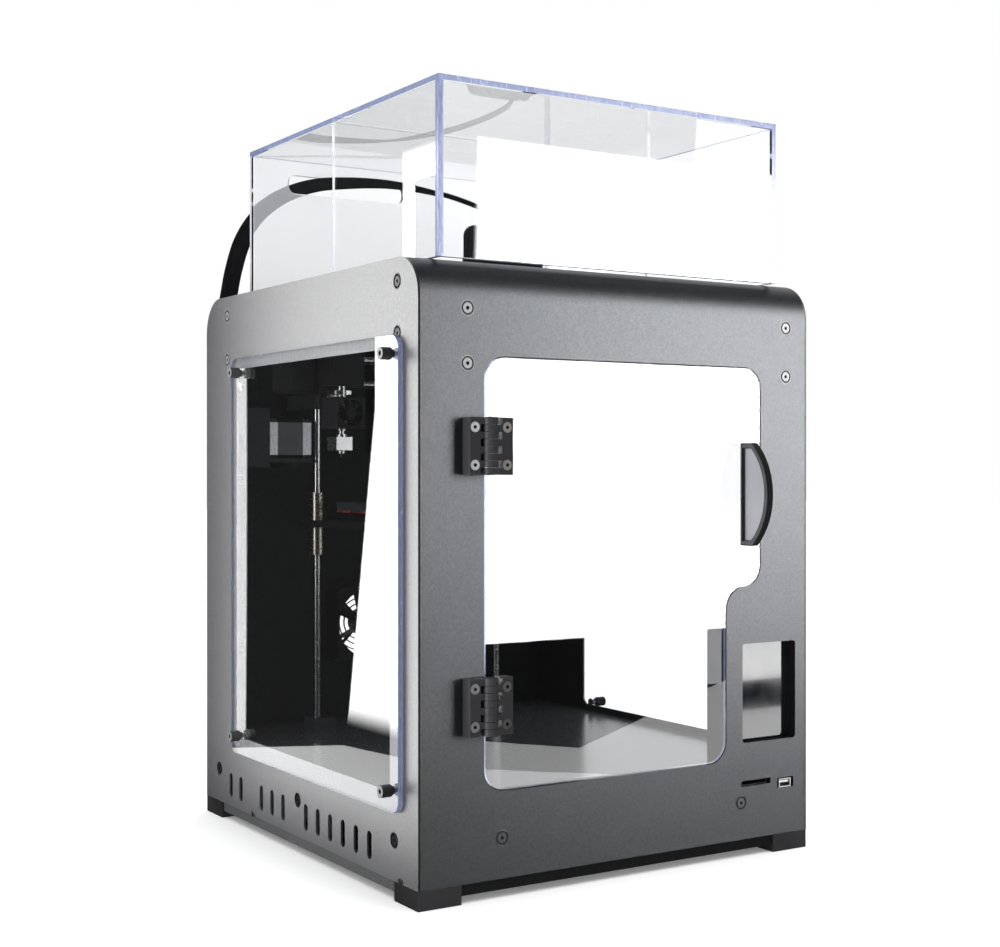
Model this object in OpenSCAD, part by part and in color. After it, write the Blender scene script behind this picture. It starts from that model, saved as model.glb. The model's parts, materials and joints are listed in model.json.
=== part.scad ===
// Enclosed desktop 3D printer with two independent print heads.
// Origin: on the ground, below the centre of the cabinet. +X right, +Y back, +Z up. Millimetres.

/* [Cabinet] */
// Width over the side panels
cab_w = 430; // [420:1:440]
// Depth over the front and back sheets
cab_d = 463; // [460:1:470]
// Height of the flat top above the ground
cab_h = 545; // [545:1:550]
// Outer radius of the bends between front, top and back
bend_r = 35; // [30:1:38]
// Thickness of the steel sheet
sheet_t = 2; // [1.5:0.5:2]
// Height of the panels' lower edge above the ground
base_z = 17; // [15:1:18]
// Side of each square foot
foot_w = 42; // [36:1:44]

/* [Door and windows] */
// Thickness of the acrylic door and side windows
acrylic_t = 5; // [4:0.5:5]
// Gap between the door and its opening
door_gap = 1.2; // [1:0.1:1.4]
// Corner radius of the door opening
door_r = 20; // [16:1:22]
// Height of the door handle
handle_h = 96.5; // [90:0.5:100]
// How far the handle stands out of the door
handle_out = 38; // [34:1:38]

/* [Lid] */
// Height of the clear lid above the cabinet
lid_h = 154; // [150:1:160]
// Half of the lid's width
lid_x = 188; // [184:1:190]
// Wall thickness of the lid
lid_t = 5; // [4:0.5:5]

/* [Motion] */
// Height of the print surface at rest
bed_top = 332; // [330:1:334]
// Distance of the parked heads from the middle
park_x = 163; // [160:1:163]
// Place of the X rods between front and back at rest
gantry_y = 40; // [30:1:42]
// Diameter of the guide rods
rod_d = 8; // [8:1:8]

/* [Hidden] */

eps = 0.01;
front_y = -cab_d / 2;
back_y = cab_d / 2;
in_x = cab_w / 2 - sheet_t;          // inner face of the side panels
in_y = cab_d / 2 - sheet_t;          // inner face of the front and back sheets
back_top_z = 508;                    // where the back panel meets the bent shell
rod_r = rod_d / 2;
run_fit = 0.05;                      // radial clearance of every running fit

// front openings: [left, right, bottom, top]
door_box = [-151, 157, 91.4, 462];
door_step = [115, 255];              // right edge below the step, height of the step
door_step_r = 22;
lcd_box = [134.7, 200.9, 107.6, 201.1];
sd_box = [133, 169.7, 66.5, 72];
usb_box = [178, 198.3, 60.5, 70.5];
front_screws = [[-167.3, 501.5], [-167.3, 455], [188.5, 501], [188.5, 454.5], [-133, 51.5], [133, 51.5]];

// side panels, in Y and Z
win_box = [-188, 142, 93, 468];
pane_box = [-206, 153, 76, 479];
pane_screws = [[-198, 463], [126, 463], [-198, 96], [126, 96]];
side_screws = [[-195.4, 524.5], [-195.4, 480.6], [175.2, 525], [175.2, 479.4], [196.2, 51], [2.7, 51.6],
    [-189.9, 51.4]];
tray_screws = [[107, 19.5], [-202, 19.5]];
cup_r = 7;                           // dished ring of the panel screws
cup_deep = 1.2;
vent_first_y = 165.1;
vent_pitch = 12.9;
vent_places = [0, 1, 3, 4, 5, 7, 8, 9, 10, 11, 12];
vent_w = 8.5;
vent_z = [26, 51];

// hinges: axis, leaf and knuckle sizes
hinge_x = -151;
hinge_out = 9.8;                     // axis in front of the front sheet
hinge_h = 48.5;
hinge_z = [361, 141.9];
hinge_face = 12;                     // leaf thickness
leaf_in = 10.6;                      // from the axis to the leaf's inner edge
leaf_out = 21.3;
knuckle_r = 7;
knuckle_n = 8;
pin_r = 2;
hinge_screw = 15.9;                  // from the axis to the screws, and from mid height to them

handle_x = 131.5;
handle_t = 7.5;
handle_z = 342.2;
handle_reach = 26;                   // centre of the handle's arc behind the door face

top_hole = [-170, 170, -195, 165];
lid_y = [-218, 179];
lid_split = -18;
lid_gap = 0.4;
slot_box = [-142, -4, 659.5, 679];     // cable slot in the lid's back wall, in X and Z

floor_z = 86;
fan_at = [-30, 194];                 // exhaust fan in the back panel, in X and Z
inlet_at = [150, 52];
gland_at = [-184, 453];

// motion system
y_rod_x = 200;
y_rod_z = 514;
belt_z = 494;
y_belt_x = 192.5;
belt_w = 6;
belt_r_in = 6.4;
belt_r_out = 7.6;
pulley_r = 6.1;
flange_r = 8;
shaft_y = 195;
front_idler_y = -200;
y_motor_at = [-170, 183, 398];       // left end, axis in Y and Z
y_pulley_x = -176.5;
x_rod_z = [450, 474];
x_pulley_x = 166;
end_x = [187, 211];
plate_y = [22, 25];                  // behind the X rods
z_rod_x = 111;
z_rod_y = 171;
z_rod_z = [88, 440];
motor_w = 42.3;
motor_l = 48;
rotor_r = 12;
tower_x = [-4, 93];
tower_y = [5, 45];                   // behind the X rods
tower_z = [524, 621];
tower_front = 6;                     // depth of the tower's wide front
tower_box_x = 20;                    // left side of the box behind it

// bed
bed_half = 115;
heater_z = bed_top - 11;
frame_z = [304, 311];
knob_at = [[-98, -98], [98, -98], [0, 98]];

// the flat loom from the back panel to the cable tower
loom_w = 20;
loom_t = 3;
loom_back = back_y + handle_out - loom_t / 2;
loom_points = [[-184, 222, 66], [-184, 222, 190], [-184, 222, 320], [-184, 222, 400], [-184, 222, 432],
    [-184, 225, 446], [-184, 233, 454], [-184, 244, 458], [-184, 256, 466], [-184, 264, 480],
    [-184, 268.5, 500], [-182, 268.6, 524], [-177, 265, 552], [-174.5, 255, 584], [-170, 240, 615],
    [-159.5, 221, 640], [-144, 200, 656.5], [-128, 179, 665], [-111, 163, 669.5], [-90, 150, 671],
    [-66, 138, 671.5], [-42, 126, 670], [-18, 113, 665.5], [6, 100, 659], [30, 88, 650],
    [52, 76, 639], [66, 68, 627], [70, 66, 606]];
loom_turn = 59;                      // how far the loom's flat side turns on its way, degrees
loom_tilt = 0.45;                    // how far its far edge hangs where it enters the lid
loom_steps = 3;

// ---------- shared shapes ----------

// flat shape drawn in Y and Z, made thick along +X from x0
module plate_x(x0, t) {
    translate([x0, 0, 0]) rotate([90, 0, 90]) linear_extrude(t) children();
}

// flat shape drawn in X and Z, made thick along +Y from y0
module plate_y(y0, t) {
    translate([0, y0 + t, 0]) rotate([90, 0, 0]) linear_extrude(t) children();
}

// box from [x0, x1], [y0, y1], [z0, z1]
module block(x, y, z) {
    translate([x[0], y[0], z[0]]) cube([x[1] - x[0], y[1] - y[0], z[1] - z[0]]);
}

// rectangle [left, right, bottom, top] with round corners
module round_box(b, r) {
    translate([b[0] + r, b[2]]) square([b[1] - b[0] - 2 * r, b[3] - b[2]]);
    translate([b[0], b[2] + r]) square([b[1] - b[0], b[3] - b[2] - 2 * r]);
    for (u = [b[0] + r, b[1] - r], v = [b[2] + r, b[3] - r]) {
        translate([u, v]) circle(r = r, $fn = 64);
    }
}

// stadium: straight runs of length l along the first axis, half circles at both ends
module stadium(l, r) {
    translate([0, -r]) square([l, 2 * r]);
    for (u = [0, l]) translate([u, 0]) circle(r = r, $fn = 48);
}

module disc_x(x0, l, r, y, z) {
    translate([x0, y, z]) rotate([0, 90, 0]) cylinder(r = r, h = l, $fn = 48);
}

module disc_y(y0, l, r, x, z) {
    translate([x, y0, z]) rotate([-90, 0, 0]) cylinder(r = r, h = l, $fn = 48);
}

module disc_z(z0, l, r, x, y) {
    translate([x, y, z0]) cylinder(r = r, h = l, $fn = 48);
}

// stepper motor body, hollow for its rotor; shaft end at z = 0 and the body below it
module motor(l) {
    cut = 4;
    h = motor_w / 2;
    difference() {
        translate([0, 0, -l]) linear_extrude(l) polygon([[-h + cut, -h], [h - cut, -h], [h, -h + cut],
            [h, h - cut], [h - cut, h], [-h + cut, h], [-h, h - cut], [-h, -h + cut]]);
        disc_z(-6, 7, 2.5 + run_fit, 0, 0);
        disc_z(-l + 5, l - 10, rotor_r + 0.5, 0, 0);
        for (u = [-15.5, 15.5], v = [-15.5, 15.5]) disc_z(-4.5, 5, 1.5, u, v);
    }
    difference() {
        disc_z(0, 2, 11, 0, 0);
        disc_z(-eps, 3, 2.5 + run_fit, 0, 0);
    }
}

// toothed-belt pulley along +Z with two flanges, total length 8
module pulley_solid() {
    disc_z(0, 8, pulley_r, 0, 0);
    disc_z(0, 0.8, flange_r, 0, 0);
    disc_z(7.2, 0.8, flange_r, 0, 0);
}

module belt_outline(l) {
    difference() {
        stadium(l, belt_r_out);
        stadium(l, belt_r_in);
    }
}

// flush socket screw with its dished ring, head towards +Z and level with z = 0
module cup_screw(shank) {
    difference() {
        union() {
            disc_z(-cup_deep, cup_deep, cup_r, 0, 0);
            disc_z(-shank, shank, 2.5, 0, 0);
        }
        difference() {
            disc_z(-0.7, 1, 6, 0, 0);
            disc_z(-1, 2, 4.6, 0, 0);
        }
        translate([0, 0, -1]) cylinder(r = 1.7, h = 3, $fn = 6);
    }
}

// ---------- cabinet ----------

// side view of the cabinet, drawn in Y and Z
module cabinet_profile(inset) {
    r = bend_r - inset;
    translate([front_y + inset, base_z]) square([cab_d - 2 * inset, cab_h - base_z - bend_r]);
    translate([front_y + bend_r, base_z]) square([cab_d - 2 * bend_r, cab_h - base_z - inset]);
    for (s = [-1, 1]) {
        translate([s * (cab_d / 2 - bend_r), cab_h - bend_r]) circle(r = r, $fn = 96);
    }
}

// outline of the door opening, or of the door when g is the gap, in X and Z
module door_outline(g) {
    b = door_box;
    r = door_r - g;
    round_box([b[0] + g, b[1] - g, door_step[1] + g, b[3] - g], r);
    round_box([b[0] + g, door_step[0] - g, b[2] + g, b[3] - g], r);
    difference() {
        translate([door_step[0] - g - eps, door_step[1] - door_step_r])
            square([door_step_r + g + eps, door_step_r + g + eps]);
        translate([door_step[0] + door_step_r, door_step[1] - door_step_r])
            circle(r = door_step_r + g, $fn = 96);
    }
}

module box_outline(b) {
    translate([b[0], b[2]]) square([b[1] - b[0], b[3] - b[2]]);
}

module front_top_shell() {
    color("#3c3e40") difference() {
        plate_x(-in_x, 2 * in_x) difference() {
            cabinet_profile(0);
            cabinet_profile(sheet_t);
            translate([front_y + sheet_t, base_z - 1]) square([cab_d - 2 * sheet_t, 60]);
            translate([in_y - 1, base_z - 1]) square([9, back_top_z - base_z + 1]);
        }
        plate_y(front_y - 1, sheet_t + 2) {
            door_outline(0);
            round_box(lcd_box, 3);
            round_box(sd_box, 1);
            round_box(usb_box, 1);
        }
        for (p = front_screws) {
            disc_y(front_y - 1, 4, 2.55, p[0], p[1]);
            disc_y(front_y - 1, 1 + cup_deep, cup_r, p[0], p[1]);
        }
        for (z0 = hinge_z, s = [-1, 1]) {
            disc_y(front_y - 1, 4, 2.1, hinge_x - hinge_screw, z0 + hinge_h / 2 + s * hinge_screw);
        }
        block([top_hole[0], top_hole[1]], [top_hole[2], top_hole[3]], [cab_h - 5, cab_h + 1]);
    }
}

module back_panel() {
    color("#333537") difference() {
        block([-in_x, in_x], [in_y, back_y], [base_z, back_top_z]);
        disc_y(in_y - 1, 4, 38, fan_at[0], fan_at[1]);
        block([inlet_at[0] - 14, inlet_at[0] + 14], [in_y - 1, back_y + 1],
            [inlet_at[1] - 23.5, inlet_at[1] + 23.5]);
        block([gland_at[0] - 11.5, gland_at[0] + 11.5], [in_y - 1, back_y + 1],
            [gland_at[1] - 6.5, gland_at[1] + 5.5]);
    }
}

// one side panel; side is -1 on the left and 1 on the right
module side_panel(side) {
    x0 = side > 0 ? in_x : -cab_w / 2;
    difference() {
        plate_x(x0, sheet_t) difference() {
            cabinet_profile(0);
            round_box(win_box, 8);
            for (p = pane_screws) translate(p) circle(r = 2.1, $fn = 32);
            for (p = side_screws) translate(p) circle(r = 2.55, $fn = 32);
            for (p = tray_screws) translate(p) circle(r = 1.6, $fn = 32);
            for (k = vent_places) {
                y = vent_first_y - 2 * vent_pitch * k;
                round_box([y - vent_w / 2, y + vent_w / 2, vent_z[0], vent_z[1]], vent_w / 2 - eps);
            }
        }
        x1 = side > 0 ? cab_w / 2 - cup_deep : -cab_w / 2 - 1;
        for (p = side_screws) disc_x(x1, cup_deep + 1, cup_r, p[0], p[1]);
    }
}

module left_side_panel() {
    color("#4a4c4f") side_panel(-1);
}

module right_side_panel() {
    color("#4a4c4f") side_panel(1);
}

module base_tray() {
    color("#28292b") difference() {
        block([-in_x, in_x], [-in_y, in_y], [7, 24]);
        block([-in_x + 2, in_x - 2], [-in_y + 2, in_y - 2], [9, 25]);
        for (s = [-1, 1], p = tray_screws) disc_x(s * in_x - 3, 6, 1.6, p[0], p[1]);
    }
}

module feet() {
    color("#242526") difference() {
        for (sx = [-1, 1], sy = [-1, 1]) {
            translate([sx * (cab_w - foot_w) / 2, sy * (cab_d - foot_w) / 2, base_z / 2])
                cube([foot_w, foot_w, base_z], center = true);
        }
        block([-in_x, in_x], [-in_y, in_y], [7, base_z + 1]);
    }
}

module chamber_floor() {
    color("#c9cbce") difference() {
        block([-in_x, in_x], [-in_y, in_y], [floor_z - 10, floor_z]);
        block([-in_x + 2, in_x - 2], [-in_y + 2, in_y - 2], [floor_z - 11, floor_z - 2]);
        disc_z(floor_z - 5, 6, 11.2, 0, z_rod_y);
        block([-200, -168], [214, 227], [floor_z - 5, floor_z + 1]);
    }
}

module side_windows() {
    color("#dfe8f4", 0.35) for (side = [-1, 1]) {
        x0 = side > 0 ? cab_w / 2 : -cab_w / 2 - acrylic_t;
        plate_x(x0, acrylic_t) difference() {
            round_box(pane_box, 12);
            for (p = pane_screws) translate(p) circle(r = 2.1, $fn = 32);
        }
    }
}

module window_thumbscrews() {
    color("#1b1b1c") for (side = [-1, 1], p = pane_screws) {
        x1 = cab_w / 2 + acrylic_t;
        mirror([side > 0 ? 0 : 1, 0, 0]) translate([0, p[0], p[1]]) difference() {
            union() {
                disc_x(x1, 3, 3.6, 0, 0);
                disc_x(x1 + 3, 10, 5.3, 0, 0);
                disc_x(in_x - 1.5, sheet_t + acrylic_t + 1.5, 2, 0, 0);
                disc_x(in_x - 1.5, 1.5, 4.5, 0, 0);
            }
            translate([x1 + 9, 0, 0]) rotate([0, 90, 0]) cylinder(r = 2.3, h = 5, $fn = 6);
        }
    }
}

module panel_screws() {
    color("#b9bbbd") {
        for (p = front_screws) translate([p[0], front_y, p[1]]) rotate([90, 0, 0]) cup_screw(9);
        for (side = [-1, 1], p = side_screws) {
            mirror([side > 0 ? 0 : 1, 0, 0]) translate([cab_w / 2, p[0], p[1]])
                rotate([0, 90, 0]) cup_screw(9);
        }
        for (side = [-1, 1], p = tray_screws) {
            mirror([side > 0 ? 0 : 1, 0, 0]) {
                disc_x(cab_w / 2, 1.2, 2.8, p[0], p[1]);
                disc_x(in_x - 6, sheet_t + 6, 1.55, p[0], p[1]);
            }
        }
        for (z0 = hinge_z, s = [-1, 1]) {
            leaf_screw(hinge_x - hinge_screw, z0 + hinge_h / 2 + s * hinge_screw, front_y + 8);
        }
    }
}

// ---------- hinges and door ----------

// countersunk screw through a hinge leaf, ending at y_end
module leaf_screw(x, z, y_end) {
    y0 = front_y - hinge_face;
    difference() {
        union() {
            disc_y(y0 + 0.3, 3, 4.5, x, z);
            disc_y(y0 + 3, y_end - y0 - 3, 2, x, z);
        }
        translate([x, y0 - 1, z]) rotate([-90, 0, 0]) cylinder(r = 1.6, h = 3, $fn = 6);
    }
}

// half hinge on the side given (-1 frame, 1 door); takes every second knuckle from the top
module hinge_half(side, z0, first) {
    pitch = hinge_h / knuckle_n;
    gap = 0.35;
    mx = side > 0 ? 0 : 1;
    translate([hinge_x, front_y, z0]) mirror([mx, 0, 0]) difference() {
        union() {
            block([leaf_in, leaf_out], [-hinge_face, 0], [0, hinge_h]);
            for (k = [first:2:knuckle_n - 1]) {
                z1 = hinge_h - (k + 1) * pitch + (k < knuckle_n - 1 ? gap / 2 : 0);
                z2 = hinge_h - k * pitch - (k > 0 ? gap / 2 : 0);
                translate([0, -hinge_out, z1]) cylinder(r = knuckle_r, h = z2 - z1, $fn = 64);
                block([0, leaf_in + eps], [-hinge_face, side > 0 ? -0.5 : 0], [z1, z2]);
            }
        }
        r = pin_r + (side > 0 ? run_fit : 0);
        translate([0, -hinge_out, -1]) cylinder(r = r, h = hinge_h + 2, $fn = 48);
        for (s = [-1, 1]) {
            disc_y(-hinge_face - 1, hinge_face + 2, 2.05, hinge_screw, hinge_h / 2 + s * hinge_screw);
            disc_y(-hinge_face - 1, 4.3, 4.6, hinge_screw, hinge_h / 2 + s * hinge_screw);
        }
    }
}

module hinge_frame_leaves() {
    color("#1c1d1f") for (z0 = hinge_z) hinge_half(-1, z0, 0);
}

module hinge_door_leaves() {
    color("#1c1d1f") for (z0 = hinge_z) hinge_half(1, z0, 1);
}

module hinge_pins() {
    color("#8e9092") for (z0 = hinge_z) {
        disc_z(z0 + 0.5, hinge_h - 1, pin_r, hinge_x, front_y - hinge_out);
    }
}

module hinge_door_screws() {
    color("#b9bbbd") for (z0 = hinge_z, s = [-1, 1]) {
        leaf_screw(hinge_x + hinge_screw, z0 + hinge_h / 2 + s * hinge_screw, front_y + acrylic_t + 4);
    }
}

module door_panel() {
    color("#e4ecf6", 0.35) plate_y(front_y, acrylic_t) difference() {
        door_outline(door_gap);
        for (z0 = hinge_z, s = [-1, 1]) {
            translate([hinge_x + hinge_screw, z0 + hinge_h / 2 + s * hinge_screw]) circle(r = 2.05, $fn = 32);
        }
    }
}

// side view of the handle, drawn in Y and Z
module handle_outline(inset) {
    r = handle_reach + handle_out;
    intersection() {
        translate([front_y + handle_reach, handle_z]) circle(r = r - inset, $fn = 128);
        translate([front_y - handle_out, handle_z - handle_h / 2 + inset])
            square([handle_out - inset / 2, handle_h - 2 * inset]);
    }
}

module door_handle() {
    color("#161617") {
        difference() {
            plate_x(handle_x, handle_t) handle_outline(0);
            plate_x(handle_x - 1, 5) handle_outline(5);
        }
        block([handle_x, handle_x + 16], [front_y - 2.5, front_y],
            [handle_z - handle_h / 2, handle_z + handle_h / 2]);
    }
}

// ---------- lid ----------

// lid shell between two places along Y; open side where the halves meet
module lid_half(y, open_front) {
    z0 = cab_h;
    inner = open_front ? [y[0] - 1, y[1] - lid_t] : [y[0] + lid_t, y[1] + 1];
    difference() {
        block([-lid_x, lid_x], y, [z0, z0 + lid_h]);
        block([-lid_x + lid_t, lid_x - lid_t], inner, [z0 - 1, z0 + lid_h - lid_t]);
    }
}

module lid_front() {
    color("#e4ecf6", 0.3) lid_half([lid_y[0], lid_split - lid_gap / 2], false);
}

module lid_rear() {
    color("#e4ecf6", 0.3) difference() {
        lid_half([lid_split + lid_gap / 2, lid_y[1]], true);
        plate_y(lid_y[1] - lid_t - 1, lid_t + 2) round_box(slot_box, 8);
    }
}

// ---------- front electronics ----------

module lcd_screen() {
    color("#15181c") block([lcd_box[0], lcd_box[1]], [front_y + 10, front_y + 14], [lcd_box[2], lcd_box[3]]);
}

module electronics_housing() {
    b = lcd_box;
    color("#1f2123") {
        difference() {
            block([131, in_x], [-in_y, -in_y + 48], [floor_z, 250]);
            block([133, in_x + 1], [-in_y - 1, -in_y + 46], [floor_z + 2, 248]);
        }
        difference() {
            block([b[0] - 2, b[1] + 2], [-in_y, front_y + 14], [b[2] - 2, b[3] + 2]);
            block([b[0], b[1]], [-in_y - 1, front_y + 15], [b[2], b[3]]);
        }
    }
}

module control_board() {
    board_z = 56;
    color("#1f5c3a") {
        block([40, 205], [-in_y + 1, -110], [board_z, board_z + 1.6]);
        for (x = [48, 197], y = [-218, -118]) disc_z(9, board_z - 9, 3, x, y);
        for (k = [0:4]) block([52 + 24 * k, 70 + 24 * k], [-175, -158], [board_z + 1.6, board_z + 12]);
    }
    // card and USB sockets, each on its own block
    sd_x = [sd_box[0] + 2, sd_box[1] - 2];
    usb_x = [usb_box[0] + 2.8, usb_box[1] - 2.8];
    color("#c9cbcd") {
        block(sd_x, [front_y + 3, front_y + 30], [board_z + 1.7, 65.3]);
        difference() {
            block(sd_x, [front_y + 3, front_y + 30], [65.5, 73]);
            block([sd_x[0] + 2, sd_x[1] - 2], [front_y + 2, front_y + 28], [68, 70.4]);
        }
        block(usb_x, [front_y + 2.5, front_y + 18], [board_z + 1.7, 60.8]);
        difference() {
            block(usb_x, [front_y + 0.5, front_y + 18], [61, 69.2]);
            block([usb_x[0] + 0.8, usb_x[1] - 0.8], [front_y - 1, front_y + 15], [61.8, 68.4]);
        }
        block([usb_x[0] + 1.5, usb_x[1] - 1.5], [front_y + 2, front_y + 15.5], [65.2, 67.3]);
    }
}

module power_supply() {
    color("#b7b9ba") difference() {
        block([-200, -90], [-40, 172], [9, 62]);
        block([-198, -92], [-60, -22], [20, 60]);
    }
}

module power_inlet() {
    x = inlet_at[0];
    z = inlet_at[1];
    color("#191a1b") difference() {
        union() {
            block([x - 14, x + 14], [in_y - 18, back_y], [z - 23.5, z + 23.5]);
            block([x - 18, x + 18], [back_y, back_y + 2.5], [z - 27, z + 27]);
        }
        difference() {
            block([x - 12, x + 12], [in_y - 13, back_y + 3], [z - 21.5, z - 5.5]);
            for (s = [-1, 0, 1]) block([x + 7 * s - 1, x + 7 * s + 1], [in_y - 14, in_y], [z - 15.5, z - 11.5]);
        }
        block([x - 9.6, x + 9.6], [in_y - 6, back_y + 3], [z + 0.4, z + 20.6]);
    }
}

// rocks about a pivot along X, and rests with its lower end pressed in
module rocker_switch() {
    x = inlet_at[0];
    z = inlet_at[1] + 10.5;
    color("#b3201c") translate([x, back_y - 5.5, z]) rotate([8, 0, 0]) difference() {
        intersection() {
            disc_x(-9, 18, 11, 0, 0);
            block([-9, 9], [0, 11.5], [-8.2, 8.2]);
        }
        disc_x(-10, 20, 20, 27.1, 0);
    }
}

module exhaust_fan_frame() {
    x = fan_at[0];
    z = fan_at[1];
    color("#1a1b1c") {
        difference() {
            plate_y(in_y - 25, 25) round_box([x - 40, x + 40, z - 40, z + 40], 4);
            disc_y(in_y - 26, 27, 38, x, z);
        }
        disc_y(in_y - 4, 4, 15, x, z);
        for (a = [45:90:315]) {
            translate([x, 0, z]) rotate([0, a, 0]) block([14, 39], [in_y - 4, in_y - 1], [-1.5, 1.5]);
        }
        for (r = [20:6:32]) {
            difference() {
                disc_y(in_y - 1.6, 1.6, r + 0.6, x, z);
                disc_y(in_y - 2, 3, r - 0.6, x, z);
            }
        }
    }
}

// fan wheel with n blades around +Y, back face at y0
module fan_wheel(y0, l, hub_r, tip_r, n, x, z) {
    disc_y(y0, l, hub_r, x, z);
    for (k = [0:n - 1]) {
        translate([x, y0 + l / 2, z]) rotate([0, k * 360 / n, 0]) rotate([32, 0, 0])
            translate([hub_r - 1.5, -l * 0.42, -0.7]) cube([tip_r - hub_r + 1.5, l * 0.84, 1.4]);
    }
}

module exhaust_rotor() {
    color("#232425") fan_wheel(in_y - 23, 18, 15, 36, 7, fan_at[0], fan_at[1]);
}

// ---------- cabinet side of the motion system ----------

module y_rods() {
    color("#c4c6c8") for (s = [-1, 1]) disc_y(-in_y + 2, 2 * in_y - 4, rod_r, s * y_rod_x, y_rod_z);
}

module z_rods() {
    color("#c4c6c8") for (s = [-1, 1]) {
        disc_z(z_rod_z[0], z_rod_z[1] - z_rod_z[0], rod_r, s * z_rod_x, z_rod_y);
    }
}

module rod_supports() {
    color("#2b2c2d") {
        // end blocks of the Y rods, with the cross shaft's bearings at the back
        for (sx = [-1, 1]) mirror([sx > 0 ? 0 : 1, 0, 0]) {
            for (sy = [-1, 1]) mirror([0, sy > 0 ? 0 : 1, 0]) difference() {
                intersection() {
                    block([190, in_x], [in_y - 20, in_y], [503, 524]);
                    plate_x(180, 40) cabinet_profile(sheet_t);
                }
                disc_y(in_y - 22, 20, rod_r, y_rod_x, y_rod_z);
            }
            difference() {
                block([204, in_x], [shaft_y - 12, shaft_y + 12], [482, 506]);
                disc_x(200, 20, rod_r + run_fit, shaft_y, belt_z);
            }
            difference() {
                block([186, in_x], [-in_y, front_idler_y + 10], [484, 502]);
                block([188, 197], [-in_y + 4, front_idler_y + 11], [483, 503]);
                for (p = front_screws) disc_y(front_y, 12, 2.5, abs(p[0]), p[1]);
            }
            disc_x(188, 9, pulley_r, front_idler_y, belt_z);
            // lower and upper blocks of the Z rods
            difference() {
                block([95, 119], [158, 186], [floor_z, floor_z + 14]);
                disc_z(z_rod_z[0], 20, rod_r, z_rod_x, z_rod_y);
            }
            difference() {
                block([95, 119], [158, in_y], [430, 446]);
                disc_z(425, z_rod_z[1] - 425, rod_r, z_rod_x, z_rod_y);
            }
        }
        // upper bearing of the lead screw
        difference() {
            block([-14, 14], [158, in_y], [430, 446]);
            disc_z(429, 18, rod_r + run_fit, 0, z_rod_y);
        }
        // shelf under the Y motor
        block([y_motor_at[0], y_motor_at[0] + motor_l], [160, in_y],
            [y_motor_at[2] - motor_w / 2 - 4, y_motor_at[2] - motor_w / 2]);
        block([-136, -128], [178, in_y], [366, y_motor_at[2] - motor_w / 2 - 4]);
    }
}

module drive_motors() {
    color("#5b5d5f") {
        translate([y_motor_at[0], y_motor_at[1], y_motor_at[2]]) rotate([0, -90, 0]) motor(motor_l);
        translate([0, z_rod_y, floor_z - 2]) motor(motor_l);
    }
}

module drive_cover() {
    color("#2a2b2d") difference() {
        block([-199, y_motor_at[0]], [160, 215], [368, 430]);
        block([-197, y_motor_at[0] - 2], [162, 213], [370, 431]);
        disc_x(y_motor_at[0] - 3, 4, 11.1, y_motor_at[1], y_motor_at[2]);
    }
}

module y_motor_pulley() {
    color("#b5b7b9") {
        translate([y_pulley_x - 4, y_motor_at[1], y_motor_at[2]]) rotate([0, 90, 0]) pulley_solid();
        disc_x(y_pulley_x, y_motor_at[0] + 7 - y_pulley_x, 2.5, y_motor_at[1], y_motor_at[2]);
        disc_x(y_motor_at[0] + 6, motor_l - 12, rotor_r, y_motor_at[1], y_motor_at[2]);
    }
}

module y_belts() {
    run = shaft_y - front_idler_y;
    dy = shaft_y - y_motor_at[1];
    dz = belt_z - y_motor_at[2];
    color("#1a1a1a") {
        for (s = [-1, 1]) {
            plate_x(s * y_belt_x - belt_w / 2, belt_w) translate([front_idler_y, belt_z]) belt_outline(run);
        }
        plate_x(y_pulley_x - belt_w / 2, belt_w) translate([y_motor_at[1], y_motor_at[2]])
            rotate([0, 0, atan2(dz, dy)]) belt_outline(norm([dy, dz]));
    }
}

module y_shaft() {
    color("#b5b7b9") {
        disc_x(-in_x + 2, 2 * in_x - 4, rod_r, shaft_y, belt_z);
        for (x = [-y_belt_x, y_belt_x, y_pulley_x]) {
            translate([x - 4, shaft_y, belt_z]) rotate([0, 90, 0]) pulley_solid();
        }
    }
}

module z_screw() {
    color("#a9abad") {
        disc_z(floor_z + 4 - motor_l, motor_l - 12, rotor_r, 0, z_rod_y);
        disc_z(floor_z - 10, 30, 2.5, 0, z_rod_y);
        disc_z(floor_z + 4, 24, 9.5, 0, z_rod_y);
        disc_z(floor_z + 20, 444 - floor_z - 20, rod_r, 0, z_rod_y);
    }
}

// ---------- the flat loom ----------

function spline(p, i, t) = 0.5 * (2 * p[i] + (p[i + 1] - p[i - 1]) * t
    + (2 * p[i - 1] - 5 * p[i] + 4 * p[i + 1] - p[i + 2]) * t * t
    + (3 * p[i] - p[i - 1] - 3 * p[i + 1] + p[i + 2]) * t * t * t);

function unit(a) = a / norm(a);

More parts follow.
